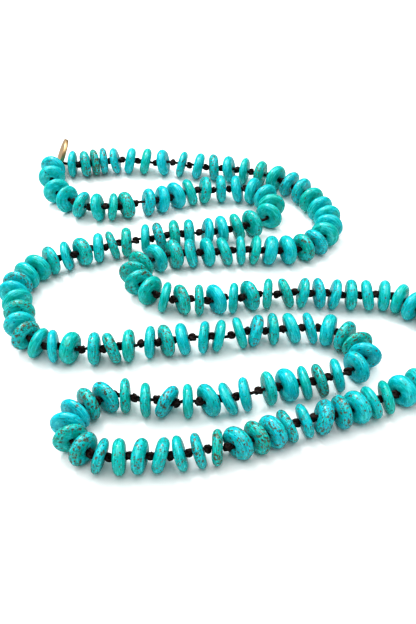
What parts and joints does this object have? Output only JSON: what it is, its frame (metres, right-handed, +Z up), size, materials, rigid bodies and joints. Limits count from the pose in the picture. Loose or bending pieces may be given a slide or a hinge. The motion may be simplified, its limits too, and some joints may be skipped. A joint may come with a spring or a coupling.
{
  "type": "beaded necklace",
  "caption": "Knotted necklace of turquoise-coloured stone rondelles on a dark cord, a closed loop lying folded flat, with a small round gold-tone tag.",
  "frame": {"origin": "middle of the footprint on the surface the necklace lies on", "axes": "+Z up, -Y towards the viewer, +X to the viewer's right"},
  "size_m": [0.1494, 0.1552, 0.0115],
  "materials": {
    "stone": "polished turquoise-coloured stone with brown veins and specks",
    "cord": "dark brown waxed cord, knotted",
    "gold": "polished gold tone"
  },
  "bodies": {
    "root": {"bead_01": "stone", "bead_02": "stone", "bead_03": "stone", "bead_04": "stone", "bead_05": "stone", "bead_06": "stone", "bead_07": "stone", "bead_08": "stone", "bead_09": "stone", "bead_10": "stone", "bead_11": "stone", "bead_12": "stone", "bead_13": "stone", "bead_14": "stone", "bead_15": "stone", "bead_16": "stone", "bead_17": "stone", "bead_18": "stone", "bead_19": "stone", "bead_20": "stone", "bead_21": "stone", "bead_22": "stone", "bead_23": "stone", "bead_24": "stone", "bead_25": "stone", "bead_26": "stone", "bead_27": "stone", "bead_28": "stone", "bead_29": "stone", "bead_30": "stone", "bead_31": "stone", "bead_32": "stone", "bead_33": "stone", "bead_34": "stone", "bead_35": "stone", "bead_36": "stone", "bead_37": "stone", "bead_38": "stone", "bead_39": "stone", "bead_40": "stone", "cord_front": "cord", "strand_01": "stone", "strand_02": "stone", "strand_03": "stone", "strand_04": "stone", "strand_05": "stone", "strand_06": "stone", "strand_07": "stone", "strand_08": "stone", "strand_09": "stone", "strand_10": "stone", "strand_11": "stone", "strand_12": "stone", "strand_13": "stone", "strand_14": "stone", "strand_15": "stone", "strand_16": "stone", "strand_17": "stone", "tag_disc": "gold"}
  },
  "joints": []
}
